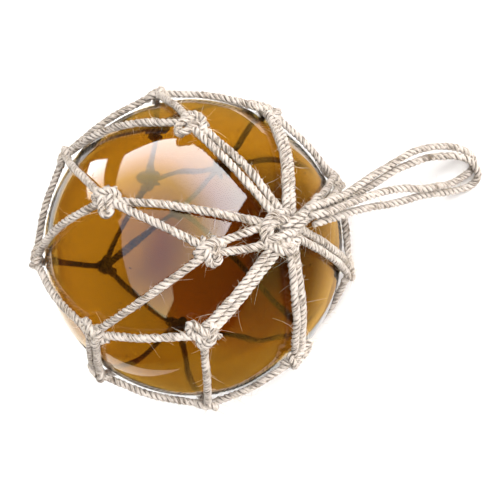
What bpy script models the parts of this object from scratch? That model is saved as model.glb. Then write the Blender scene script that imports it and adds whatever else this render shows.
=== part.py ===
"""Amber glass float ball in a knotted jute net, with a doubled hanging loop.

Metres, +Z up. The origin is the middle of the small flat that the ball rests on.
The hanging loop leaves the hub knot and comes down to the floor on the -Y side.
"""
from math import asin, ceil, cos, pi, radians, sin, sqrt

import bmesh
import bpy
from mathutils import Matrix, Vector

# Glass ball.
BALL_DIAMETER = 0.150
REST_DIAMETER = 0.017
BALL_SIDES = 40
BALL_RINGS = 21

# Rope and its clearance to what it lies against.
ROPE_DIAMETER = 0.0037
GAP = 0.0003
ROPE_SIDES = 6
STEP_ANGLE = radians(9.5)

# Knots of the net: their length lies across the line to the hub.
KNOT_LENGTH = 0.0138
KNOT_WIDTH = 0.0102
KNOT_HEIGHT = 0.0078
KNOT_LEVELS = 2
UNDERSIDE_BELOW = -0.1

# The hub, where the doubled ropes and the hanging loop are gathered.
HUB_DIAMETER = 0.0180
HUB_HEIGHT = 0.0112
HUB_LEVELS = 2
HUB_BIGHT_ANGLES = (15, 75, 135)
HUB_BIGHT_STEPS = 8

# Edges of the fused net shorter than this are closed up.
SHORTEST_EDGE = 0.00004

# Longitude and latitude of each knot about the ball's upright axis, in degrees.
KNOTS = {
    "hub": (-84, 15.5),
    "ring_1": (-40.5, 70),
    "ring_2": (-34.5, 32),
    "ring_3": (-33, -4.5),
    "ring_4": (-61.5, -29),
    "ring_5": (-100.5, -33),
    "ring_6": (-130.5, -7.5),
    "ring_7": (-127, 37),
    "ring_8": (-91.5, 41.5),
    "side_1": (3, 17),
    "side_2": (39, 43),
    "side_3": (97, 53.5),
    "side_4": (-177, 60.5),
    "side_5": (-169.5, 4),
    "side_6": (158, 32.5),
    "back_1": (30.5, -8),
    "back_2": (57, -20),
    "back_3": (32, -44),
    "back_4": (69, -37),
    "back_5": (98, -5),
    "back_6": (132, -29.5),
    "back_7": (-149.5, -46),
}

# Ropes that run singly from knot to knot.
SINGLE_ROPES = (
    ("hub", "ring_1"), ("ring_1", "ring_8"), ("ring_1", "side_2"), ("ring_1", "side_3"),
    ("ring_2", "side_2"), ("ring_2", "side_1"), ("side_1", "side_2"), ("side_1", "ring_3"),
    ("ring_3", "ring_4"), ("ring_4", "ring_5"), ("ring_6", "side_5"), ("ring_7", "side_5"),
    ("ring_7", "side_4"), ("ring_8", "side_4"), ("side_4", "side_3"), ("side_2", "side_3"),
    ("side_6", "side_5"), ("ring_5", "back_7"), ("ring_6", "back_7"), ("side_1", "back_1"),
    ("back_1", "back_2"), ("back_1", "ring_3"), ("back_1", "side_2"), ("back_2", "back_3"),
    ("back_2", "back_5"), ("back_3", "ring_3"), ("back_3", "ring_4"), ("back_3", "back_4"),
    ("back_4", "back_5"), ("back_4", "back_7"), ("back_5", "side_3"), ("back_5", "back_6"),
    ("back_6", "side_6"), ("back_6", "back_7"), ("back_6", "side_5"),
)

# Ropes that run side by side, with their spacing in rope diameters.
DOUBLED_ROPES = (
    ("hub", "ring_2", 1.1), ("hub", "ring_3", 1.1), ("hub", "ring_4", 1.15), ("hub", "ring_5", 1.2),
    ("hub", "ring_6", 1.1), ("hub", "ring_7", 1.1), ("hub", "ring_8", 1.7), ("side_4", "side_6", 1.1),
)

# The two ropes of the hanging loop, in millimetres: out of the hub, down to the floor and back.
LOOP_ROPES = {
    "loop_outer_rope": (
        (17, -83, 92), (18.5, -84.5, 85), (21, -86, 77), (24, -87.5, 68.5), (28.5, -89.5, 60),
        (33.5, -92.5, 52), (39, -97, 43), (44.5, -101.5, 34), (47.5, -106, 24.5), (48.5, -110.5, 16),
        (47.5, -114.5, 8.5), (45, -117, 3.9), (41, -118.2, 2.3), (37, -117, 4), (33.5, -114.5, 9),
        (30.5, -112, 15), (29, -109, 22), (27.5, -105, 30), (27.5, -100.5, 38.5), (26, -96.5, 47.5),
        (23.5, -93.5, 57), (20.5, -91, 66.5), (17.5, -89.5, 76), (15, -87.5, 84.5), (13.5, -85, 91),
    ),
    "loop_inner_rope": (
        (15.5, -80, 85.5), (18, -81.5, 78), (20, -83.5, 69.5), (23, -86, 61), (27, -88, 52.5),
        (31.5, -91.5, 45), (36, -95, 38.5), (39.5, -99.5, 31.5), (42.5, -104.5, 25), (43.5, -110, 19),
        (43.5, -115, 15), (42, -119, 11), (38.5, -121.2, 7), (34.5, -120.7, 3.5), (31, -117.8, 2.6),
        (28.5, -113.5, 5.5), (27, -109.5, 11), (26, -106, 18.5), (24.5, -102.5, 26.5), (22, -98.5, 35),
        (20, -95, 43.5), (18.5, -91.5, 53), (16.5, -88.5, 62), (14, -86, 71), (12, -84, 79), (10, -82, 85),
    ),
}
MILLIMETRE = 0.001
LOOP_POINT_SPACING = 2.4
LOOP_BEVEL_RESOLUTION = 2
LOOP_CURVE_STEPS = 10

# Worked out from the sizes above.
BALL_RADIUS = BALL_DIAMETER / 2
ROPE_RADIUS = ROPE_DIAMETER / 2
BALL_CENTRE = Vector((0, 0, sqrt(BALL_RADIUS ** 2 - (REST_DIAMETER / 2) ** 2)))
ROPE_RIDE = (BALL_RADIUS + GAP + ROPE_RADIUS) / cos(STEP_ANGLE / 2)
KNOT_RIDE = BALL_RADIUS + GAP + KNOT_HEIGHT / 2
HUB_RIDE = BALL_RADIUS + GAP + HUB_HEIGHT / 2
KNOT_UNDERSIDE = BALL_RADIUS + GAP


def clear_scene():
    for old in list(bpy.data.objects):
        bpy.data.objects.remove(old, do_unlink=True)


def material(name, color, roughness, transmission=0.0):
    made = bpy.data.materials.new(name)
    made.use_nodes = True
    shader = made.node_tree.nodes["Principled BSDF"]
    shader.inputs["Base Color"].default_value = (*color, 1)
    shader.inputs["Roughness"].default_value = roughness
    shader.inputs["Metallic"].default_value = 0
    shader.inputs["Transmission Weight"].default_value = transmission
    made.diffuse_color = (*color, 1)
    return made


def add_object(name, data, finish):
    made = bpy.data.objects.new(name, data)
    bpy.context.scene.collection.objects.link(made)
    data.materials.append(finish)
    return made


def mesh_from(shape, name):
    """Turns a bmesh into a smooth-shaded mesh."""
    mesh = bpy.data.meshes.new(name)
    shape.to_mesh(mesh)
    shape.free()
    mesh.shade_smooth()
    return mesh


def outward(knot):
    """Unit vector from the ball's centre to a knot."""
    longitude, latitude = (radians(angle) for angle in KNOTS[knot])
    return Vector((cos(latitude) * cos(longitude), cos(latitude) * sin(longitude), sin(latitude)))


def glass_ball(finish):
    """The sealed ball: a half outline turned about the upright axis, flat where it rests."""
    first = asin(REST_DIAMETER / BALL_DIAMETER)
    shape = bmesh.new()
    outline = [shape.verts.new((0, 0, 0))]
    for step in range(BALL_RINGS):
        turn = first + (pi - first) * step / (BALL_RINGS - 1)
        outline.append(shape.verts.new(BALL_CENTRE + Vector((sin(turn), 0, -cos(turn))) * BALL_RADIUS))
    edges = [shape.edges.new(pair) for pair in zip(outline, outline[1:])]
    bmesh.ops.spin(shape, geom=outline + edges, cent=(0, 0, 0), axis=(0, 0, 1), angle=2 * pi,
                   steps=BALL_SIDES)
    bmesh.ops.remove_doubles(shape, verts=shape.verts, dist=GAP / 100)
    bmesh.ops.recalc_face_normals(shape, faces=shape.faces)
    return add_object("glass_ball", mesh_from(shape, "glass_ball"), finish)


def arc(start, end, sideways, trim):
    """Points on the ball from one direction to another, moved sideways along its surface."""
    angle = start.angle(end)
    across = start.cross(end).normalized()
    first = trim[0] / ROPE_RIDE
    last = angle - trim[1] / ROPE_RIDE
    steps = max(2, ceil((last - first) / STEP_ANGLE))
    points = []
    for step in range(steps + 1):
        turn = first + (last - first) * step / steps
        along = Matrix.Rotation(turn, 3, across) @ start
        points.append(BALL_CENTRE + (along * ROPE_RIDE + across * sideways).normalized() * ROPE_RIDE)
    return points


def tube(points, middle):
    """A closed tube round the points, its sides turned to face away from the middle."""
    shape = bmesh.new()
    rings = []
    for index, point in enumerate(points):
        before = points[max(index - 1, 0)]
        after = points[min(index + 1, len(points) - 1)]
        ahead = (after - before).normalized()
        side = ahead.cross(point - middle).normalized()
        rise = side.cross(ahead)
        ring = []
        for corner in range(ROPE_SIDES):
            turn = 2 * pi * (corner + 0.5) / ROPE_SIDES
            ring.append(shape.verts.new(point + (side * cos(turn) + rise * sin(turn)) * ROPE_RADIUS))
        rings.append(ring)
    for ring, following in zip(rings, rings[1:]):
        for corner in range(ROPE_SIDES):
            beside = (corner + 1) % ROPE_SIDES
            shape.faces.new((ring[corner], ring[beside], following[beside], following[corner]))
    shape.faces.new(rings[0])
    shape.faces.new(rings[-1])
    bmesh.ops.recalc_face_normals(shape, faces=shape.faces)
    return mesh_from(shape, "rope")


def lump(direction, ride, length, width, height, levels):
    """A knot's body: a rounded lump, long across the line to the hub, its underside along the glass."""
    to_hub = outward("hub") - direction
    if to_hub.length < GAP:
        to_hub = Vector((0, 0, 1))
    across = direction.cross(to_hub).normalized()
    along = across.cross(direction)
    turn = Matrix((across, along, direction)).transposed().to_4x4()
    size = Matrix.Diagonal((length / 2, width / 2, height / 2, 1))
    place = Matrix.Translation(BALL_CENTRE + direction * ride) @ turn @ size
    shape = bmesh.new()
    bmesh.ops.create_icosphere(shape, subdivisions=levels, radius=1)
    underside = [vert for vert in shape.verts if vert.co.z < UNDERSIDE_BELOW]
    bmesh.ops.transform(shape, matrix=place, verts=shape.verts)
    for vert in underside:
        vert.co = BALL_CENTRE + (vert.co - BALL_CENTRE).normalized() * KNOT_UNDERSIDE
    return mesh_from(shape, "knot")


def hub_bight(angle):
    """A turn of rope laid over the hub."""
    direction = outward("hub")
    side = direction.orthogonal().normalized()
    side.rotate(Matrix.Rotation(radians(angle), 3, direction))
    middle = BALL_CENTRE + direction * HUB_RIDE
    reach = HUB_DIAMETER / 2 - ROPE_RADIUS
    rise = HUB_HEIGHT / 2
    turns = [pi * step / HUB_BIGHT_STEPS for step in range(1, HUB_BIGHT_STEPS)]
    return tube([middle + side * reach * cos(turn) + direction * rise * sin(turn) for turn in turns], middle)


def net_ropes():
    """Meshes of every rope of the net, ending inside the knots."""
    inside_knot = KNOT_WIDTH / 4
    inside_hub = HUB_DIAMETER / 4
    meshes = []
    runs = [(start, end, (0,)) for start, end in SINGLE_ROPES]
    for start, end, spacing in DOUBLED_ROPES:
        half = spacing * ROPE_DIAMETER / 2
        runs.append((start, end, (-half, half)))
    for start, end, offsets in runs:
        trim = (inside_hub if start == "hub" else inside_knot, inside_knot)
        for sideways in offsets:
            meshes.append(tube(arc(outward(start), outward(end), sideways, trim), BALL_CENTRE))
    return meshes


def net_knots():
    """Meshes of the knots' bodies and of the turns over the hub."""
    meshes = []
    for knot in KNOTS:
        if knot != "hub":
            meshes.append(lump(outward(knot), KNOT_RIDE, KNOT_LENGTH, KNOT_WIDTH, KNOT_HEIGHT,
                               KNOT_LEVELS))
    for angle in HUB_BIGHT_ANGLES:
        meshes.append(hub_bight(angle))
    return meshes


def rope_net(finish):
    """The whole net, fused into one solid from the hub outwards."""
    pieces = bpy.data.collections.new("net_pieces")
    bpy.context.scene.collection.children.link(pieces)
    for index, mesh in enumerate(net_knots() + net_ropes()):
        piece = bpy.data.objects.new(f"net_piece_{index}", mesh)
        piece.hide_render = True
        piece.display_type = "WIRE"
        pieces.objects.link(piece)
    hub = lump(outward("hub"), HUB_RIDE, HUB_DIAMETER, HUB_DIAMETER, HUB_HEIGHT, HUB_LEVELS)
    net = add_object("rope_net", hub, finish)
    fuse = net.modifiers.new("fuse", "BOOLEAN")
    fuse.operation = "UNION"
    fuse.operand_type = "COLLECTION"
    fuse.collection = pieces
    fuse.solver = "EXACT"
    tidy = net.modifiers.new("tidy", "WELD")
    tidy.merge_threshold = SHORTEST_EDGE
    return net


def smooth_route(points):
    """Points at even steps along a smooth curve through the route's own points."""
    route = [Vector(point) * MILLIMETRE for point in points]
    ends = [route[0] * 2 - route[1]] + route + [route[-1] * 2 - route[-2]]
    dense = []
    for index in range(1, len(ends) - 2):
        before, start, end, after = ends[index - 1:index + 3]
        for step in range(LOOP_CURVE_STEPS):
            part = step / LOOP_CURVE_STEPS
            dense.append((start * 2 + (end - before) * part
                          + (before * 2 - start * 5 + end * 4 - after) * part ** 2
                          + (start * 3 - before - end * 3 + after) * part ** 3) / 2)
    dense.append(route[-1])
    lengths = [0.0]
    for start, end in zip(dense, dense[1:]):
        lengths.append(lengths[-1] + (end - start).length)
    count = ceil(lengths[-1] / (LOOP_POINT_SPACING * ROPE_DIAMETER))
    even = []
    index = 0
    for step in range(count + 1):
        wanted = lengths[-1] * step / count
        while index < len(dense) - 2 and lengths[index + 1] < wanted:
            index += 1
        share = (wanted - lengths[index]) / (lengths[index + 1] - lengths[index])
        even.append(dense[index].lerp(dense[index + 1], share))
    return even


def loop_rope(name, points, finish):
    """One rope of the hanging loop."""
    curve = bpy.data.curves.new(name, "CURVE")
    curve.dimensions = "3D"
    curve.bevel_depth = ROPE_RADIUS
    curve.bevel_resolution = LOOP_BEVEL_RESOLUTION
    curve.use_fill_caps = True
    route = smooth_route(points)
    spline = curve.splines.new("POLY")
    spline.points.add(len(route) - 1)
    for target, point in zip(spline.points, route):
        target.co = (*point, 1)
    spline.use_smooth = True
    return add_object(name, curve, finish)


def main():
    clear_scene()
    glass = material("amber_glass", (0.62, 0.30, 0.05), 0.03, transmission=1.0)
    jute = material("jute_rope", (0.66, 0.58, 0.46), 0.9)
    glass_ball(glass)
    rope_net(jute)
    for name, points in LOOP_ROPES.items():
        loop_rope(name, points, jute)


main()
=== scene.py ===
"""Looks of an amber glass float ball in its knotted jute net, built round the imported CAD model.

Metres, +Z up, in the CAD frame: the ball rests on the floor at the origin, and the doubled
hanging loop leaves the hub knot and comes down to the floor on the -Y side.
"""

from math import cos, pi, radians, sin, sqrt

import bpy
import numpy as np
from mathutils import Matrix, Vector


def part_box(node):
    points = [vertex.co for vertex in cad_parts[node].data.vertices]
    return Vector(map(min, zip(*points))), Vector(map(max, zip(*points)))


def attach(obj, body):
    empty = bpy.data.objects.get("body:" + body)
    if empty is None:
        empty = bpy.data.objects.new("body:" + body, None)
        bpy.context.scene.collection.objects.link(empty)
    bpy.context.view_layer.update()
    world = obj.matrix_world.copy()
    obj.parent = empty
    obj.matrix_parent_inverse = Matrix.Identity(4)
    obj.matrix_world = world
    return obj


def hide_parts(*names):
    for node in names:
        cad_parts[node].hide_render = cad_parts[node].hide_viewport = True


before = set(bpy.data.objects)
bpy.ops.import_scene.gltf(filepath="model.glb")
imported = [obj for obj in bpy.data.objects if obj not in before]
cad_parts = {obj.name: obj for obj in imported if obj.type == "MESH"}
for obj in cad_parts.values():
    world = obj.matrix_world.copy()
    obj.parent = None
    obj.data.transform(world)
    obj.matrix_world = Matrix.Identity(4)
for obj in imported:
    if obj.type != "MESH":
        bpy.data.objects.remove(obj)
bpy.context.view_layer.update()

MM = 0.001

# Sizes shared with the CAD model.
ROPE_DIAMETER = 0.0037
ROPE_RADIUS = ROPE_DIAMETER / 2
GAP = 0.0003
ball_low, ball_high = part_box("glass_ball")
BALL_RADIUS = (ball_high.x - ball_low.x) / 2
BALL_CENTRE = np.array((0, 0, ball_high.z - BALL_RADIUS))
ROPE_REACH = BALL_RADIUS + GAP + ROPE_RADIUS

# The photograph's view: the camera looks down on the ball, turned a quarter turn about its own axis.
IMAGE_SIDE = 500
BALL_PIXEL = (195, 247.5)
BALL_PIXEL_RADIUS = 149
SENSOR_WIDTH = 36
VIEW_ELEVATION = radians(50)
VIEW_RIGHT = np.array((0, -sin(VIEW_ELEVATION), -cos(VIEW_ELEVATION)))
VIEW_UP = np.array((1.0, 0, 0))
VIEW_DISTANCE = 6 * BALL_RADIUS

# Longitude and latitude of each knot about the ball's upright axis, in degrees.
KNOTS = {
    "hub": (-84, 15.5),
    "ring_1": (-40.5, 70),
    "ring_2": (-34.5, 32),
    "ring_3": (-33, -4.5),
    "ring_4": (-61.5, -29),
    "ring_5": (-100.5, -33),
    "ring_6": (-131.5, -6.3),
    "ring_7": (-127, 37),
    "ring_8": (-91.5, 41.5),
    "side_1": (3, 17),
    "side_2": (39, 43),
    "side_3": (97, 53.5),
    "side_4": (-177, 60.5),
    "side_5": (-169.5, 4),
    "side_6": (158, 32.5),
    "back_1": (30.5, -8),
    "back_2": (57, -20),
    "back_3": (32, -44),
    "back_4": (69, -37),
    "back_5": (98, -5),
    "back_6": (132, -29.5),
    "back_7": (-149.5, -46),
}

# Ropes that run singly from knot to knot.
FRONT_ROPES = (
    ("hub", "ring_1"), ("ring_1", "ring_8"), ("ring_1", "side_2"), ("ring_1", "side_3"),
    ("ring_2", "side_2"), ("ring_2", "side_1"), ("side_1", "side_2"), ("side_1", "ring_3"),
    ("ring_3", "ring_4"), ("ring_4", "ring_5"), ("ring_6", "side_5"), ("ring_7", "side_5"),
    ("ring_7", "side_4"), ("ring_8", "side_4"), ("side_4", "side_3"), ("side_2", "side_3"),
)
BACK_ROPES = (
    ("side_6", "side_5"), ("ring_5", "back_7"), ("ring_6", "back_7"), ("side_1", "back_1"),
    ("back_1", "back_2"), ("back_1", "ring_3"), ("back_1", "side_2"), ("back_2", "back_3"),
    ("back_2", "back_5"), ("back_3", "ring_3"), ("back_3", "ring_4"), ("back_3", "back_4"),
    ("back_4", "back_5"), ("back_4", "back_7"), ("back_5", "side_3"), ("back_5", "back_6"),
    ("back_6", "side_6"), ("back_6", "back_7"), ("back_6", "side_5"),
)

# Ropes that run side by side, with their spacing at the start, halfway and at the end, in diameters,
# and how far the pair bows sideways, in millimetres.
DOUBLED_ROPES = (
    ("hub", "ring_2", (0.9, 1.6, 0.95), 0), ("hub", "ring_3", (0.9, 0.95, 0.9), 0),
    ("hub", "ring_4", (0.95, 1.25, 1.6), 0), ("hub", "ring_5", (1.2, 1.15, 1), 0),
    ("hub", "ring_6", (0.9, 1.1, 1.25), -2), ("hub", "ring_7", (0.95, 1, 1), 0),
    ("hub", "ring_8", (2.2, 1.8, 1), 0), ("side_4", "side_6", (1, 1.1, 1), 0),
)

# The two ropes of the hanging loop, in millimetres: out of the hub, down to the floor and back.
LOOP_ROPES = {
    "loop_outer_rope": (
        (17, -83, 92), (18.5, -84.5, 85), (21, -86, 77), (24, -87.5, 68.5), (28.5, -89.5, 60),
        (33.5, -92.5, 52), (39, -97, 43), (44.5, -101.5, 34), (47.5, -106, 24.5), (48.5, -110.5, 16),
        (47.5, -114.5, 8.5), (45, -117, 3.9), (41, -118.2, 2.3), (37, -117, 4), (33.5, -114.5, 9),
        (30.5, -112, 15), (29, -109, 22), (27.5, -105, 30), (27.5, -100.5, 38.5), (26, -96.5, 47.5),
        (23.5, -93.5, 57), (20.5, -91, 66.5), (17.5, -89.5, 76), (15, -87.5, 84.5), (13.5, -85, 91),
    ),
    "loop_inner_rope": (
        (15.5, -80, 85.5), (18, -81.5, 78), (20, -83.5, 69.5), (23, -86, 61), (27, -88, 52.5),
        (31.5, -91.5, 45), (36, -95, 38.5), (39.5, -99.5, 31.5), (42.5, -104.5, 25), (43.5, -110, 19),
        (43.5, -115, 15), (42, -119, 11), (38.5, -121.2, 7), (34.5, -120.7, 3.5), (31, -117.8, 2.6),
        (28.5, -113.5, 5.5), (27, -109.5, 11), (26, -106, 18.5), (24.5, -102.5, 26.5), (22, -98.5, 35),
        (20, -95, 43.5), (18.5, -91.5, 53), (16.5, -88.5, 62), (14, -86, 71), (12, -84, 79), (10, -82, 85),
    ),
}
LOOP_END_RADIUS = 0.8

# Laid rope: three strands with a right-hand lay. The strands are in shares of the rope's radius.
STRANDS = 3
POINTS_A_STRAND = 8
STRAND_OFFSET = 0.34
STRAND_RADIUS = 0.66
STRAND_ROUGHNESS = 0.028
ROUGHNESS_OF_NEIGHBOURS = 0.7
LAY_LENGTH = 0.0082
RING_SPACING = 0.00055
CURVE_STEPS = 24
# How uneven a rope is: by what share of its radius, and over what length.
ROPE_WAVES = ((0.035, 0.009), (0.02, 0.0035))
# Ropes start anywhere on this length of the material's pattern, so that no two look alike.
PATTERN_LENGTH = 5

# Loose hairs, per metre of rope, their sizes, and how they stand out, scatter and curl.
HAIRS_A_METRE = 1900
HAIR_MEAN_LENGTH = 0.0019
HAIR_LEAST_LENGTH = 0.0005
HAIR_MOST_LENGTH = 0.011
HAIR_RADII = (0.00005, 0.0001)
HAIR_TAPER = 0.7
HAIR_SEGMENTS = 3
HAIR_SIDES = 3
HAIR_LIFT = 1.3
HAIR_SCATTER = 0.38
HAIR_CURL = 0.8
HAIR_RISE = (-0.6, 0.3)
HAIR_BEND = 0.6
# Keeps the sides of a hair apart where it stands straight out.
HAIR_NUDGE = 0.01

# How far the net's ropes stand off the glass at a knot, and at the hub.
KNOT_LIFT = 0.0022
HUB_LIFT = 0.0036
# How far the net's ropes stray from a straight run: in wobbles of one length, and to one side.
PATH_WOBBLE = 0.00022
WOBBLE_LENGTH = 0.03
SIDEWAYS_DRIFT = 0.0003
# Over how many points of its path a change of a rope's spacing is eased.
SPACING_EASE_POINTS = 19

# Each knot's length in millimetres, and where its bight points in the photograph, in degrees from the right.
KNOT_BIGHTS = {
    "ring_1": (14.5, -88), "ring_2": (18, -130), "ring_3": (20, 167), "ring_4": (13, 120),
    "ring_5": (12, 80), "ring_6": (18, 26), "ring_7": (17.5, 144), "ring_8": (13, -78),
    "side_1": (12, 200), "side_2": (12, 215), "side_3": (12, 80), "side_4": (15, 122),
    "side_5": (12, 170), "side_6": (12, 110),
    "back_1": (12, 40), "back_2": (12, 160), "back_3": (12, 100), "back_4": (12, 20),
    "back_5": (12, 70), "back_6": (12, 140), "back_7": (12, 60),
}
# Routes of a knot's ropes: along the bight as a share of half the knot's length, across it in
# rope diameters, and the middle's height off the glass in rope diameters.
BIGHT_ROUTE = (
    (-0.95, -0.55, 0.3), (-0.6, -0.5, 0.9), (-0.1, -0.5, 1.3), (0.4, -0.5, 1.2), (0.74, -0.45, 0.95),
    (0.9, 0.0, 0.75), (0.72, 0.5, 0.8), (0.35, 0.62, 1.0), (-0.1, 0.6, 1.1), (-0.5, 0.62, 0.85),
    (-0.85, 0.7, 0.3),
)
TURN_ROUTE = (
    (0.0, 0.5, 0.52), (0.05, -0.3, 0.52), (0.1, -1.0, 0.6), (0.06, -1.5, 0.78), (-0.15, -1.4, 1.15),
    (-0.38, -0.55, 1.5), (-0.42, 0.4, 1.45), (-0.3, 1.2, 1.0), (-0.12, 1.45, 0.65), (0.0, 0.9, 0.5),
)
# How much the knots' routes vary, in the routes' own terms, and what is left of the radius at their ends.
KNOT_SCATTER = 0.05
KNOT_END_RADIUS = 0.4

# The hub's turns, in millimetres in the hub's own plane: right and up as in the photograph, and height.
HUB_TURNS = (
    ((3.9, 4.2, 2.5), (1.3, 6.0, 4.5), (-3.1, 6.4, 6), (-8.0, 5.1, 6), (-11.5, 1.8, 5.2),
     (-12.3, -2.3, 4.8), (-10.6, -6.0, 4.5), (-6.6, -8.1, 3.5)),
    ((3.9, -0.7, 3), (0.8, 2.2, 6), (-4.0, 3.4, 7.6), (-8.4, 2.2, 6.8), (-9.7, -1.1, 5.6),
     (-7.5, -4.4, 4), (-4.0, -5.6, 3)),
    ((3.5, -2.7, 4), (0.4, -1.9, 7), (-3.6, -2.3, 8), (-8.0, -4.0, 7.2), (-11.0, -5.6, 4.5),
     (-10.6, -7.6, 2.6)),
    ((-9.3, -3.1, 3), (-8.4, -6.8, 5), (-4.9, -9.1, 5.6), (-0.5, -9.4, 5.4), (3.0, -7.4, 4.8),
     (4.4, -4.0, 4), (3.9, -0.7, 3)),
    ((-3.1, -3.1, 4), (-0.9, -5.6, 6.6), (0.8, -8.5, 5.6), (0.4, -10.5, 3)),
    ((-4.9, -6.4, 3), (-2.2, -6.7, 6.2), (1.3, -5.3, 6.6), (4.2, -2.7, 5), (4.4, 1.0, 3)),
)
HUB_TURN_RADIUS = ROPE_RADIUS * 1.02
# The loop's ropes run on over the hub, in the same terms.
HUB_ROOTS = (
    ((15.5, 13.5, 9), (9, 8.5, 9.6), (4, 5, 9.8), (-0.5, 2.6, 8.8), (-2.6, 0.8, 6.2), (-2.4, -0.6, 3.4)),
    ((15, 9, 8), (9, 5, 8.6), (4.5, 2, 8.2), (1.5, -0.5, 6), (0, -2, 3.4)),
)

# The blown glass: its rings and sides, and how far each surface lies under the ball's own radius,
# how wavy it is and its ripples' seed.
WALL = 0.0022
GLASS_SIDES = 224
GLASS_RINGS = 112
GLASS_POLE_GAP = 0.012
OUTER_SURFACE = (0.0001, 0.00008, 5)
INNER_SURFACE = (WALL, 0.00016, 9)
GLASS_WAVES = ((1, 0.06), (0.22, 0.018))

# Air bubbles in the glass: their radius, how drawn out they are, and their depth as a share of the wall.
BUBBLES = 70
BUBBLE_RINGS = 7
BUBBLE_SIDES = 8
BUBBLE_POLE_GAP = 0.2
BUBBLE_RADII = (0.00012, 0.0004)
BUBBLE_STRETCH = (1.0, 2.6)
BUBBLE_DEPTHS = (0.3, 0.7)
BUBBLE_LEAST_HEIGHT = 2 * WALL

# Colours of the jute's fibres, of the shade painted into its grooves, of its hairs, and of the glass.
JUTE_LIGHT = (0.485, 0.437, 0.393)
JUTE_DARK = (0.12, 0.09, 0.062)
JUTE_GROOVE_SHADE = (0.018, 0.011, 0.006)
HAIR_COLOR = (0.62, 0.54, 0.42)
GLASS_COLOR = (0.565, 0.353, 0.062)

# The jute's pattern: streaks per metre along the rope and per turn round it, patches and breaks in the
# grooves' painted shade per metre, the steps of the dark and light tone, and how deep the streaks are.
STREAK_SCALE = (320, 21, 1)
STREAK_SHARE = 0.7
PATCH_SCALE = 130
PATCH_SHARE = 0.3
DARK_STEP = 0.41
LIGHT_STEP = 0.51
# How sharply the painted groove shade gathers in the deepest part of each groove.
GROOVE_SHADE_SHARPNESS = 1.7
BREAK_SCALE = 420
BREAK_STEPS = (0.36, 0.52)
STREAK_DEPTH = 0.0003
STREAK_STRENGTH = 0.7

# The floor, with an amber shadow painted into its colour close by the ball, where the glass's shadow
# falls: the painted shadow's middle, its half sides, its colour, and where it starts and is full, as shares
# of the half sides.
FLOOR_SIDE = 6
FLOOR_COLOR = (0.98, 0.98, 0.98)
AMBER_SHADOW_MIDDLE = (-0.01, 0.045)
AMBER_SHADOW_HALVES = (0.07, 0.085)
AMBER_SHADOW_COLOR = (0.74, 0.36, 0.2)
AMBER_SHADOW_STEPS = (1, 0.55)
# Only this part of the floor shows in reflections: two oblongs, each from its left near corner to its
# right far corner. The far one starts where the near one ends.
NEAR_FLOOR = ((-0.12, -0.05), (0.15, 0.3))
FAR_FLOOR = ((-1.3, 0.3), (0.6, 4))

# Lamps: name, azimuth and elevation in degrees, width and power. They stand round the object and point at it.
LAMPS = (
    ("key", -64, 46, 1.4, 92),
    ("low", -100, 20, 0.8, 46),
    ("back", 112, 22, 1.2, 30),
)
LAMP_DISTANCE = 2.5
LAMP_AIM = (0, 0, 0.05)

# Soft light from all round: the sine of the elevation, and the light's colour there.
SOFT_TONES = (
    (0.0, (0.44, 0.16, 0.05)),
    (0.16, (0.46, 0.28, 0.17)),
    (0.45, (0.49, 0.46, 0.43)),
    (1.0, (0.54, 0.54, 0.54)),
)

# What the glass mirrors: a dim room over a warm table, lit straight below the ball, and a window.
# Heights are sines of the elevation.
ROOM_COLOR = (0.035, 0.03, 0.03)
TABLE_COLOR = (0.15, 0.09, 0.035)
LIT_TABLE_COLOR = (1.9, 1.14, 0.48)
LIT_TABLE_HEIGHTS = (-1, -0.8)
HORIZON_HEIGHTS = (-0.01, 0)
# The window's panes, some of which overlap, by azimuth and elevation of their corners in degrees.
WINDOW_PANES = (
    ((165, 64), (-170, 38), (-152, 46), (-130, 59), (-134, 75)),
    ((38, 72), (100, 80), (165, 64), (-150, 64), (-110, 72)),
    ((39, 23), (7, 8), (-52, -2), (-92, 33), (-157, 55), (57, 79), (41, 51)),
    ((46, 42), (60, 34), (56, 6), (44, 16)),
)
# How soft the panes' edges are, and how bright the window is.
WINDOW_EDGE = 0.02
WINDOW_STRENGTH = 15
# Height on the window and its colour there.
WINDOW_TONES = (
    (0.1, (1.0, 1.0, 1.0)),
    (0.38, (0.84, 0.79, 0.80)),
    (0.65, (0.47, 0.37, 0.185)),
    (0.95, (0.135, 0.147, 0.18)),
)
BACKDROP_COLOR = (1, 1, 1)

# Chance: the scene's own random numbers, and ripples made of waves that run every way.
random = np.random.default_rng(seed=1413)
LARGEST_SEED = 1 << 30
RIPPLE_WAVES = 7
RIPPLE_STRETCH = (0.7, 1.4)


# Small helpers.

def unit(vector):
    return vector / np.linalg.norm(vector)


def new_seed():
    """A seed for ripples, drawn from the scene's own random numbers."""
    return int(random.integers(LARGEST_SEED))


def outward(knot):
    """Unit vector from the ball's centre to a knot."""
    longitude, latitude = (radians(angle) for angle in KNOTS[knot])
    return np.array((cos(latitude) * cos(longitude), cos(latitude) * sin(longitude), sin(latitude)))


def ripples(points, size, seed):
    """A smooth random value from about -1 to 1 at each point, changing over the given size."""
    local = np.random.default_rng(seed)
    total = np.zeros(len(points))
    for _ in range(RIPPLE_WAVES):
        direction = unit(local.normal(size=3))
        stretch = local.uniform(*RIPPLE_STRETCH)
        total += np.cos(points @ direction * (2 * pi * stretch / size) + local.uniform(0, 2 * pi))
    return total / sqrt(RIPPLE_WAVES)


def mixed_ripples(points, kinds, seed):
    """Ripples of several kinds together, each kind with its strength and its size."""
    return sum(strength * ripples(points, size, seed + number)
               for number, (strength, size) in enumerate(kinds))


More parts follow.
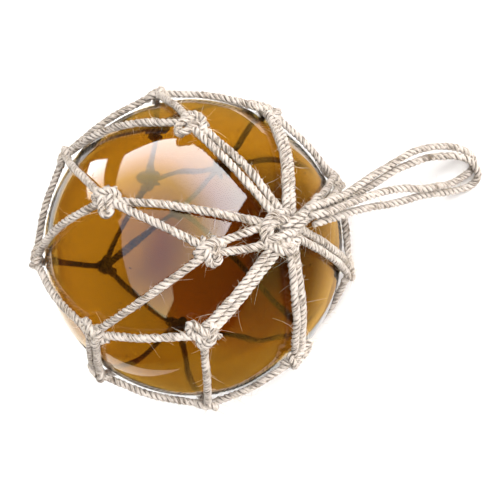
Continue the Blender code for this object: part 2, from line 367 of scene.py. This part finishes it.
def smooth_path(points):
    """Points at even steps along a smooth curve through the given ones."""
    points = np.asarray(points, float)
    ends = np.vstack((points[:1] * 2 - points[1:2], points, points[-1:] * 2 - points[-2:-1]))
    dense = []
    for before, start, end, after in zip(ends, ends[1:], ends[2:], ends[3:]):
        part = np.linspace(0, 1, CURVE_STEPS, endpoint=False)[:, None]
        dense.append((start * 2 + (end - before) * part
                      + (before * 2 - start * 5 + end * 4 - after) * part ** 2
                      + (start * 3 - before - end * 3 + after) * part ** 3) / 2)
    dense = np.vstack(dense + [points[-1:]])
    along = np.concatenate(((0,), np.cumsum(np.linalg.norm(np.diff(dense, axis=0), axis=1))))
    count = max(2, int(np.ceil(along[-1] / RING_SPACING)))
    wanted = np.linspace(0, along[-1], count + 1)
    return np.column_stack([np.interp(wanted, along, dense[:, axis]) for axis in range(3)])


def carried_frames(path, first_up):
    """Directions along, up and sideways at each point, carried along the path without twisting."""
    ahead = np.gradient(path, axis=0)
    ahead /= np.linalg.norm(ahead, axis=1)[:, None]
    ups = np.empty_like(path)
    up = first_up
    for index, direction in enumerate(ahead):
        up = unit(up - direction * (up @ direction))
        ups[index] = up
    return ahead, ups, np.cross(ahead, ups)


# Meshes.

def new_object(name, vertices, quads, finish, uv=None, groove=None):
    """A smooth-shaded object from arrays of corners and four-sided faces."""
    mesh = bpy.data.meshes.new(name)
    mesh.vertices.add(len(vertices))
    mesh.vertices.foreach_set("co", np.asarray(vertices, np.float32).ravel())
    mesh.loops.add(quads.size)
    mesh.loops.foreach_set("vertex_index", quads.astype(np.int32).ravel())
    mesh.polygons.add(len(quads))
    mesh.polygons.foreach_set("loop_start", np.arange(0, quads.size, 4, dtype=np.int32))
    mesh.polygons.foreach_set("use_smooth", np.ones(len(quads), bool))
    mesh.update(calc_edges=True)
    if uv is not None:
        layer = mesh.uv_layers.new(name="rope")
        layer.data.foreach_set("uv", np.asarray(uv, np.float32).ravel())
    if groove is not None:
        attribute = mesh.attributes.new("groove", "FLOAT", "POINT")
        attribute.data.foreach_set("value", np.asarray(groove, np.float32))
    mesh.materials.append(finish)
    made = bpy.data.objects.new(name, mesh)
    bpy.context.scene.collection.objects.link(made)
    return made


def strand_outline():
    """Angle and radius of each point round a laid rope of radius 1, and how deep in a groove it is."""
    bend = np.linspace(-pi / STRANDS, pi / STRANDS, POINTS_A_STRAND, endpoint=False)
    radius = STRAND_OFFSET * np.cos(bend) + np.sqrt(STRAND_RADIUS ** 2 - (STRAND_OFFSET * np.sin(bend)) ** 2)
    angles = np.concatenate([bend + 2 * pi * strand / STRANDS for strand in range(STRANDS)])
    radii = np.tile(radius, STRANDS)
    grooves = (radii.max() - radii) / (radii.max() - radii.min())
    return angles, radii, grooves


ANGLES, RADII, GROOVES = strand_outline()
SIDES = len(ANGLES)


class Rope:
    """One length of laid rope along a path: its rings of points, and what the hairs need of it."""

    def __init__(self, path, first_up, radius=ROPE_RADIUS, end_radius=1.0):
        """The ends narrow to the share end_radius, over a stretch as long as the rope is thick."""
        self.ahead, ups, sides = carried_frames(path, first_up)
        steps = np.linalg.norm(np.diff(path, axis=0), axis=1)
        along = np.concatenate(((0,), np.cumsum(steps)))
        self.length = along[-1]
        phase = random.uniform(0, 2 * pi)
        angle = ANGLES[None, :] + (2 * pi * along / LAY_LENGTH)[:, None] + phase
        uneven = 1 + mixed_ripples(path, ROPE_WAVES, new_seed())
        from_end = np.minimum(along, along[-1] - along)
        uneven = uneven * (end_radius + (1 - end_radius) * np.clip(from_end / (2 * radius), 0, 1))
        rough = random.normal(size=(len(path), SIDES))
        rough += (np.roll(rough, 1, axis=0) + np.roll(rough, -1, axis=0)) * ROUGHNESS_OF_NEIGHBOURS
        self.normals = (ups[:, None, :] * np.cos(angle)[..., None]
                        + sides[:, None, :] * np.sin(angle)[..., None])
        reach = radius * (RADII[None, :] * uneven[:, None] + STRAND_ROUGHNESS * rough)
        self.points = path[:, None, :] + self.normals * reach[..., None]
        self.along = along + random.uniform(0, PATTERN_LENGTH)

    def faces(self):
        """Corner numbers of the faces and their places on the rope, along and round it."""
        rings = len(self.points)
        ring = np.arange(rings - 1)
        column = np.arange(SIDES)
        start = ring[:, None] * SIDES
        after = start + SIDES
        beside = (column + 1) % SIDES
        quads = np.stack((start + column, start + beside, after + beside, after + column), axis=-1)
        quads = quads.reshape(-1, 4)
        step = self.length / rings
        low = np.broadcast_to(self.along[ring][:, None], (len(ring), SIDES))
        left = np.broadcast_to(column / SIDES, (len(ring), SIDES))
        right = left + 1 / SIDES
        uv = np.stack((low, left, low, right, low + step, right, low + step, left), axis=-1).reshape(-1, 8)
        half = np.arange(SIDES // 2 - 1)
        cap = np.stack((half, half + 1, SIDES - 2 - half, SIDES - 1 - half), axis=-1)
        quads = np.vstack((quads, cap[:, ::-1], cap + (rings - 1) * SIDES))
        uv = np.vstack((uv, np.zeros((2 * len(half), 8))))
        return quads, uv


def rope_object(name, ropes, finish):
    """All the given ropes in one object."""
    vertices, quads, uvs = [], [], []
    count = 0
    for rope in ropes:
        faces, uv = rope.faces()
        vertices.append(rope.points.reshape(-1, 3))
        quads.append(faces + count)
        uvs.append(uv)
        count += rope.points.shape[0] * SIDES
    groove = np.tile(GROOVES, count // SIDES)
    return new_object(name, np.vstack(vertices), np.vstack(quads), finish, np.vstack(uvs), groove)


def hair_object(name, ropes, finish):
    """Loose hairs of the jute: thin three-sided tubes, some lying along the rope and some standing out."""
    roots, tangents, normals = [], [], []
    for rope in ropes:
        count = random.poisson(HAIRS_A_METRE * rope.length)
        ring = random.integers(0, len(rope.points), count)
        side = random.integers(0, SIDES, count)
        roots.append(rope.points[ring, side])
        normals.append(rope.normals[ring, side])
        tangents.append(rope.ahead[ring] * random.choice((-1, 1), count)[:, None])
    roots, tangents, normals = (np.vstack(parts) for parts in (roots, tangents, normals))
    count = len(roots)
    length = random.exponential(HAIR_MEAN_LENGTH, count) + HAIR_LEAST_LENGTH
    length = np.clip(length, 0, HAIR_MOST_LENGTH)[:, None]
    lift = random.uniform(0.0, 1.0, count)[:, None] ** 2 * HAIR_LIFT
    away = tangents + normals * lift + random.normal(scale=HAIR_SCATTER, size=(count, 3))
    away /= np.linalg.norm(away, axis=1)[:, None]
    curl = random.normal(scale=HAIR_CURL, size=(count, 3))
    curl += normals * random.uniform(*HAIR_RISE, count)[:, None]
    width = random.uniform(*HAIR_RADII, count)[:, None]
    side = np.cross(away, normals + HAIR_NUDGE)
    side /= np.linalg.norm(side, axis=1)[:, None]
    over = np.cross(away, side)
    vertices = []
    for step in range(HAIR_SEGMENTS + 1):
        part = step / HAIR_SEGMENTS
        middle = (roots + normals * width - away * width
                  + away * length * part + curl * length * part ** 2 * HAIR_BEND)
        taper = width * (1 - HAIR_TAPER * part)
        for corner in range(HAIR_SIDES):
            turn = 2 * pi * corner / HAIR_SIDES
            vertices.append(middle + (side * cos(turn) + over * sin(turn)) * taper)
    vertices = np.stack(vertices, axis=1)
    vertices[..., 2] = np.maximum(vertices[..., 2], 0)
    points_a_hair = vertices.shape[1]
    quads = []
    for step in range(HAIR_SEGMENTS):
        low, high = step * HAIR_SIDES, (step + 1) * HAIR_SIDES
        for corner in range(HAIR_SIDES):
            beside = (corner + 1) % HAIR_SIDES
            quads.append((low + corner, low + beside, high + beside, high + corner))
    quads = (np.array(quads)[None] + np.arange(count)[:, None, None] * points_a_hair).reshape(-1, 4)
    return new_object(name, vertices.reshape(-1, 3), quads, finish)


# The net.

def standing_off(along, total, start_lift, end_lift):
    """How far a taut rope stands off the glass between two raised knots."""
    start_reach = sqrt(2 * ROPE_REACH * start_lift)
    end_reach = sqrt(2 * ROPE_REACH * end_lift)
    if total < start_reach + end_reach:
        share = along / total
        return start_lift * (1 - share) + end_lift * share - along * (total - along) / (2 * ROPE_REACH)
    return (np.clip(start_reach - along, 0, None) ** 2
            + np.clip(along - total + end_reach, 0, None) ** 2) / (2 * ROPE_REACH)


def net_rope(start, end, drift, spacing=(0, 0, 0)):
    """A rope over the glass from one knot's middle to another's.

    It drifts sideways halfway, by a length, and is moved sideways by the spacing, in rope diameters,
    at the start, halfway and at the end.
    """
    first, last = outward(start), outward(end)
    angle = np.arccos(first @ last)
    across = unit(np.cross(first, last))
    total = angle * ROPE_REACH
    count = int(np.ceil(total / RING_SPACING))
    share = np.linspace(0, 1, count + 1)[:, None]
    beside = unit(np.cross(across, first))
    radial = first * np.cos(angle * share) + beside * np.sin(angle * share)
    lift = standing_off(share[:, 0] * total, total, HUB_LIFT if start == "hub" else KNOT_LIFT, KNOT_LIFT)
    sideways = np.interp(share[:, 0], (0, 0.5, 1), spacing) * ROPE_DIAMETER
    sideways = np.convolve(np.pad(sideways, SPACING_EASE_POINTS // 2, mode="edge"),
                           np.ones(SPACING_EASE_POINTS) / SPACING_EASE_POINTS, mode="valid")
    direction = radial * ROPE_REACH + across * sideways[:, None]
    direction /= np.linalg.norm(direction, axis=1)[:, None]
    path = BALL_CENTRE + direction * (ROPE_REACH + lift)[:, None]
    swell = np.sin(pi * share[:, 0])
    wobble = ripples(path, WOBBLE_LENGTH, new_seed())
    path += across * (wobble * swell * PATH_WOBBLE + drift * swell)[:, None]
    return Rope(path, radial[0])


def single_ropes(pairs):
    return [net_rope(start, end, random.normal(scale=SIDEWAYS_DRIFT)) for start, end in pairs]


def doubled_ropes():
    ropes = []
    for start, end, spacing, bow in DOUBLED_ROPES:
        for side in (-0.5, 0.5):
            ropes.append(net_rope(start, end, bow * MM, [side * width for width in spacing]))
    return ropes


def knot_ropes(knot):
    """A netting knot: a bight over the ropes that meet there, and a turn that passes under and over it."""
    length, angle = KNOT_BIGHTS[knot]
    direction = outward(knot)
    towards = VIEW_RIGHT * cos(radians(angle)) + VIEW_UP * sin(radians(angle))
    along = unit(towards - direction * (towards @ direction))
    across = np.cross(direction, along)
    half = length * MM / 2
    ropes = []
    for route in (BIGHT_ROUTE, TURN_ROUTE):
        points = []
        for share, aside, height in route:
            share, aside = (value + random.normal(scale=KNOT_SCATTER) for value in (share, aside))
            radial = unit(direction * BALL_RADIUS + along * share * half + across * aside * ROPE_DIAMETER)
            points.append(BALL_CENTRE + radial * (BALL_RADIUS + GAP + height * ROPE_DIAMETER))
        ropes.append(Rope(smooth_path(points), direction, end_radius=KNOT_END_RADIUS))
    return ropes


def hub_point(right_up_height):
    """A point over the hub from its place in the hub's own plane."""
    across, rise, height = np.array(right_up_height) * MM
    direction = outward("hub")
    up = unit(VIEW_UP - direction * direction[0])
    right = np.cross(up, direction)
    radial = unit(direction * BALL_RADIUS + right * across + up * rise)
    return BALL_CENTRE + radial * (BALL_RADIUS + GAP + height)


def hub_ropes(turns, radius):
    return [Rope(smooth_path([hub_point(point) for point in turn]), outward("hub"), radius) for turn in turns]


# The glass.

def ball_mesh(rings, sides, pole_gap):
    """Points of a ball of radius 1 from the bottom up, closed by small rings at its poles, and its faces."""
    turn = np.linspace(pole_gap, pi - pole_gap, rings)[:, None]
    around = np.linspace(0, 2 * pi, sides, endpoint=False)
    points = np.stack((np.sin(turn) * np.cos(around), np.sin(turn) * np.sin(around),
                       -np.cos(turn) * np.ones_like(around)), axis=-1).reshape(-1, 3)
    ring = np.arange(rings - 1)[:, None] * sides
    after = ring + sides
    column = np.arange(sides)
    beside = (column + 1) % sides
    quads = np.stack((ring + column, ring + beside, after + beside, after + column), axis=-1).reshape(-1, 4)
    half = np.arange(sides // 2 - 1)
    cap = np.stack((half, sides - 1 - half, sides - 2 - half, half + 1), axis=-1)
    return points, np.vstack((quads, cap, cap[:, ::-1] + (rings - 1) * sides))


def inside_out(quads):
    return quads[:, ::-1]


def glass_surface(directions, depth, waviness, seed):
    """Points of a slightly wavy ball, the given depth under the real one."""
    waves = mixed_ripples(directions * BALL_RADIUS, GLASS_WAVES, seed)
    reach = BALL_RADIUS - depth + waviness * waves
    return BALL_CENTRE + directions * reach[:, None]


def bubble_parts():
    """Small drawn-out air bubbles inside the wall, each a closed ball turned inside out."""
    shape, faces = ball_mesh(BUBBLE_RINGS, BUBBLE_SIDES, BUBBLE_POLE_GAP)
    vertices, quads = [], []
    for _ in range(BUBBLES):
        out = unit(random.normal(size=3))
        first = unit(np.cross(out, random.normal(size=3)))
        second = np.cross(out, first)
        radius = random.uniform(*BUBBLE_RADII)
        long = radius * random.uniform(*BUBBLE_STRETCH)
        depth = random.uniform(*BUBBLE_DEPTHS) * WALL
        middle = BALL_CENTRE + out * (BALL_RADIUS - depth)
        if middle[2] >= BUBBLE_LEAST_HEIGHT:
            quads.append(inside_out(faces) + len(shape) * len(vertices))
            vertices.append(middle + shape @ np.array((first * long, second * radius, out * radius)))
    return np.vstack(vertices), np.vstack(quads)


def glass_ball(finish):
    """The blown ball: a wall of even thickness with air inside, flattened a little where it rests."""
    directions, faces = ball_mesh(GLASS_RINGS, GLASS_SIDES, GLASS_POLE_GAP)
    outer = glass_surface(directions, *OUTER_SURFACE)
    inner = glass_surface(directions, *INNER_SURFACE)
    outer[:, 2] = np.maximum(outer[:, 2], 0.0)
    bubbles, bubble_faces = bubble_parts()
    vertices = np.vstack((outer, inner, bubbles))
    quads = np.vstack((faces, inside_out(faces) + len(outer), bubble_faces + len(outer) + len(inner)))
    return new_object("blown_glass", vertices, quads, finish)


# Materials.

class Nodes:
    """Short calls for building the nodes of a material or the world."""

    def __init__(self, owner):
        owner.use_nodes = True
        self.tree = owner.node_tree

    def add(self, kind, inputs, **settings):
        """A new node. Each input gets a value, or is linked where another node's output is given."""
        made = self.tree.nodes.new(kind)
        for name, value in settings.items():
            setattr(made, name, value)
        for socket, value in inputs.items():
            if isinstance(value, bpy.types.NodeSocket):
                self.link(value, made.inputs[socket])
            else:
                made.inputs[socket].default_value = value
        return made.outputs

    def link(self, output, target):
        self.tree.links.new(output, target)

    def math(self, operation, *values):
        return self.add("ShaderNodeMath", dict(enumerate(values)), operation=operation)[0]

    def noise(self, place, scale, detail):
        return self.add("ShaderNodeTexNoise", {"Vector": place, "Scale": scale, "Detail": detail})["Fac"]

    def share(self, value, start, full, **settings):
        """0 where the value is at the start, 1 where it is full."""
        steps = {"Value": value, "From Min": start, "From Max": full}
        return self.add("ShaderNodeMapRange", steps, **settings)["Result"]

    def mix(self, share, first, second):
        """The first colour where the share is 0, the second where it is 1."""
        first, second = (color if isinstance(color, bpy.types.NodeSocket) else (*color, 1)
                         for color in (first, second))
        colours = {"Factor": share, "A": first, "B": second}
        return self.add("ShaderNodeMix", colours, data_type="RGBA")["Result"]

    def tones(self, value, steps):
        """Colours that change from step to step of the value."""
        made = self.tree.nodes.new("ShaderNodeValToRGB")
        self.link(value, made.inputs["Fac"])
        elements = made.color_ramp.elements
        for position, _ in steps[1:-1]:
            elements.new(position)
        for element, (position, color) in zip(elements, steps):
            element.position = position
            element.color = (*color, 1)
        return made.outputs["Color"]


class Finish(Nodes):
    """A material, with plain values on its shader."""

    def __init__(self, name, **values):
        self.material = bpy.data.materials.new(name)
        super().__init__(self.material)
        self.shader = self.tree.nodes["Principled BSDF"].inputs
        for socket, value in values.items():
            self.shader[socket.replace("_", " ")].default_value = value


def jute():
    """Fibres streaked along the rope, darker in patches, with painted shade in the grooves between the
    strands, broken in places.
    """
    finish = Finish("jute", Roughness=0.85, Specular_IOR_Level=0.25, Sheen_Weight=0.15, Sheen_Roughness=0.5)
    along_rope = finish.add("ShaderNodeUVMap", {}, uv_map="rope")["UV"]
    stretched = finish.add("ShaderNodeMapping", {"Vector": along_rope, "Scale": STREAK_SCALE})["Vector"]
    streaks = finish.noise(stretched, scale=1, detail=4)
    place = finish.add("ShaderNodeTexCoord", {})["Object"]
    patches = finish.noise(place, PATCH_SCALE, detail=2)
    both = finish.math("MULTIPLY_ADD", patches, PATCH_SHARE, finish.math("MULTIPLY", streaks, STREAK_SHARE))
    fibres = finish.tones(both, ((DARK_STEP, JUTE_DARK), (LIGHT_STEP, JUTE_LIGHT)))
    # Painted shade: the deeper a point lies in a groove between strands, the more of the dark groove shade it
    # gets, with breaks.
    groove = finish.add("ShaderNodeAttribute", {}, attribute_name="groove")["Fac"]
    unbroken = finish.share(finish.noise(place, BREAK_SCALE, detail=1), *BREAK_STEPS)
    depth = finish.math("MULTIPLY", finish.math("POWER", groove, GROOVE_SHADE_SHARPNESS), unbroken)
    finish.link(finish.mix(depth, fibres, JUTE_GROOVE_SHADE), finish.shader["Base Color"])
    raised = {"Strength": STREAK_STRENGTH, "Distance": STREAK_DEPTH, "Height": streaks}
    finish.link(finish.add("ShaderNodeBump", raised)["Normal"], finish.shader["Normal"])
    return finish.material


def jute_hair():
    return Finish("jute_hair", Base_Color=(*HAIR_COLOR, 1), Roughness=0.6, Specular_IOR_Level=0.4).material


def amber_glass():
    return Finish("amber_glass", Base_Color=(*GLASS_COLOR, 1), Roughness=0.0, IOR=1.5,
                  Transmission_Weight=1.0).material


def pale_floor():
    """White, with an amber shadow painted into its colour close by the ball, where the glass's shadow falls.
    """
    finish = Finish("pale_floor", Roughness=0.7, Specular_IOR_Level=0.2)
    place = finish.add("ShaderNodeTexCoord", {})["Object"]
    # The painted amber shadow: an oval round its middle, full inside and fading out towards its edge.
    oval = {"Vector": place, "Location": (*AMBER_SHADOW_MIDDLE, 0), "Scale": (*AMBER_SHADOW_HALVES, 1)}
    from_middle = finish.add("ShaderNodeMapping", oval, vector_type="TEXTURE")["Vector"]
    away = finish.add("ShaderNodeVectorMath", {0: from_middle}, operation="LENGTH")["Value"]
    shadow = finish.share(away, *AMBER_SHADOW_STEPS, interpolation_type="SMOOTHSTEP")
    finish.link(finish.mix(shadow, FLOOR_COLOR, AMBER_SHADOW_COLOR), finish.shader["Base Color"])
    return finish.material


# Light, floor and camera.

def sky_direction(azimuth, elevation):
    azimuth, elevation = radians(azimuth), radians(elevation)
    return np.array((cos(elevation) * cos(azimuth), cos(elevation) * sin(azimuth), sin(elevation)))


def window_pane(nodes, place, corners):
    """1 inside the pane, whose sides are planes through the middle of the world."""
    directions = [sky_direction(*corner) for corner in corners]
    middle = sum(directions)
    inside = None
    for first, second in zip(directions, directions[1:] + directions[:1]):
        side = unit(np.cross(first, second))
        side = side if side @ middle > 0 else -side
        both = {0: place, 1: tuple(side)}
        within = nodes.add("ShaderNodeVectorMath", both, operation="DOT_PRODUCT")["Value"]
        share = nodes.share(within, -WINDOW_EDGE / 2, WINDOW_EDGE / 2)
        inside = share if inside is None else nodes.math("MULTIPLY", inside, share)
    return inside


def studio_world():
    """Soft light from all round, a window in a dim room where it is mirrored, and plain white behind."""
    world = bpy.data.worlds.new("studio")
    nodes = Nodes(world)
    place = nodes.add("ShaderNodeTexCoord", {})["Generated"]
    height = nodes.add("ShaderNodeSeparateXYZ", {"Vector": place})["Z"]
    window = window_pane(nodes, place, WINDOW_PANES[0])
    for corners in WINDOW_PANES[1:]:
        window = nodes.math("MAXIMUM", window, window_pane(nodes, place, corners))
    shine = {"Vector": nodes.tones(height, WINDOW_TONES), "Scale": WINDOW_STRENGTH}
    bright = nodes.add("ShaderNodeVectorMath", shine, operation="SCALE")["Vector"]
    table = nodes.mix(nodes.share(height, *LIT_TABLE_HEIGHTS), LIT_TABLE_COLOR, TABLE_COLOR)
    room = nodes.mix(nodes.share(height, *HORIZON_HEIGHTS), table, ROOM_COLOR)
    mirrored = nodes.mix(window, room, bright)
    rays = nodes.add("ShaderNodeLightPath", {})
    mirror_ray = nodes.math("SUBTRACT", rays["Is Glossy Ray"], rays["Is Transmission Ray"])
    lighting = nodes.mix(mirror_ray, nodes.tones(height, SOFT_TONES), mirrored)
    backdrop = nodes.mix(rays["Is Camera Ray"], lighting, BACKDROP_COLOR)
    nodes.link(backdrop, nodes.tree.nodes["Background"].inputs["Color"])
    bpy.context.scene.world = world


def lamp(name, azimuth, elevation, width, power):
    """A square lamp that lights the scene and isn't seen in the glass."""
    data = bpy.data.lights.new(name, "AREA")
    data.shape = "RECTANGLE"
    data.size = width
    data.size_y = width
    data.energy = power
    place = Vector(sky_direction(azimuth, elevation) * LAMP_DISTANCE)
    made = bpy.data.objects.new(name, data)
    made.location = place
    made.rotation_euler = (Vector(LAMP_AIM) - place).to_track_quat("-Z", "Y").to_euler()
    made.visible_glossy = False
    made.visible_transmission = False
    bpy.context.scene.collection.objects.link(made)


def floor_piece(name, corners, finish):
    mesh = bpy.data.meshes.new(name)
    mesh.from_pydata([(x, y, 0) for x, y in corners], [], [range(len(corners))])
    mesh.materials.append(finish)
    made = bpy.data.objects.new(name, mesh)
    bpy.context.scene.collection.objects.link(made)
    return made


def studio_floor():
    """One flat floor, in a piece that shows in reflections and six round it that don't."""
    finish = pale_floor()
    side = FLOOR_SIDE
    (left, near), (right, middle) = NEAR_FLOOR
    (far_left, _), (far_right, far) = FAR_FLOOR
    floor_piece("floor", ((left, near), (right, near), (right, middle), (far_right, middle), (far_right, far),
                          (far_left, far), (far_left, middle), (left, middle)), finish)
    around = (
        ((-side, -side), (side, -side), (side, near), (-side, near)),
        ((-side, far), (side, far), (side, side), (-side, side)),
        ((-side, near), (left, near), (left, middle), (-side, middle)),
        ((right, near), (side, near), (side, middle), (right, middle)),
        ((-side, middle), (far_left, middle), (far_left, far), (-side, far)),
        ((far_right, middle), (side, middle), (side, far), (far_right, far)),
    )
    for number, corners in enumerate(around, 1):
        floor_piece(f"floor_beyond_{number}", corners, finish).visible_glossy = False


def studio():
    studio_world()
    for described in LAMPS:
        lamp(*described)
    studio_floor()
    bpy.context.scene.view_settings.view_transform = "Standard"


def photo_camera():
    """The photograph's view: from above the hub's side, with the picture's top towards +X."""
    right, up = Vector(VIEW_RIGHT), Vector(VIEW_UP)
    back = right.cross(up)
    data = bpy.data.cameras.new("photo_camera")
    focal_pixels = BALL_PIXEL_RADIUS * sqrt(VIEW_DISTANCE ** 2 - BALL_RADIUS ** 2) / BALL_RADIUS
    data.sensor_width = SENSOR_WIDTH
    data.lens = focal_pixels / IMAGE_SIDE * SENSOR_WIDTH
    metres_a_pixel = VIEW_DISTANCE / focal_pixels
    shift_right = (IMAGE_SIDE / 2 - BALL_PIXEL[0]) * metres_a_pixel
    shift_up = (BALL_PIXEL[1] - IMAGE_SIDE / 2) * metres_a_pixel
    camera = bpy.data.objects.new("photo_camera", data)
    place = Vector(BALL_CENTRE) + back * VIEW_DISTANCE + right * shift_right + up * shift_up
    camera.matrix_world = Matrix.Translation(place) @ Matrix((right, up, back)).transposed().to_4x4()
    bpy.context.scene.collection.objects.link(camera)
    bpy.context.scene.camera = camera


# The object's pieces.

def hanging_loop(rope_finish, hair_finish):
    """The loop's two ropes, each with its own hairs."""
    for name, points in LOOP_ROPES.items():
        path = smooth_path(np.array(points) * MM)
        rope = Rope(path, np.array((0, -1.0, 0)), end_radius=LOOP_END_RADIUS)
        piece = rope_object(name.replace("_rope", ""), [rope], rope_finish)
        hair = hair_object(name.replace("_rope", "_hair"), [rope], hair_finish)
        for made in (piece, hair):
            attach(made, "root")
        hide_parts(name)


def rope_net(rope_finish, hair_finish):
    """The net's ropes and knots in five pieces, with all their hairs in one."""
    pieces = {
        "front_ropes": single_ropes(FRONT_ROPES),
        "back_ropes": single_ropes(BACK_ROPES),
        "doubled_ropes": doubled_ropes(),
        "knots": [rope for knot in KNOT_BIGHTS for rope in knot_ropes(knot)],
        "hub_knot": hub_ropes(HUB_TURNS, HUB_TURN_RADIUS) + hub_ropes(HUB_ROOTS, ROPE_RADIUS),
    }
    for name, ropes in pieces.items():
        made = rope_object(name, ropes, rope_finish)
        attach(made, "root")
        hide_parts("rope_net")
    hair = hair_object("net_hair", sum(pieces.values(), []), hair_finish)
    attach(hair, "root")


def main():
    photo_camera()
    rope_finish, hair_finish = jute(), jute_hair()
    hanging_loop(rope_finish, hair_finish)
    rope_net(rope_finish, hair_finish)
    glass = glass_ball(amber_glass())
    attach(glass, "root")
    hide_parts("glass_ball")
    studio()


main()
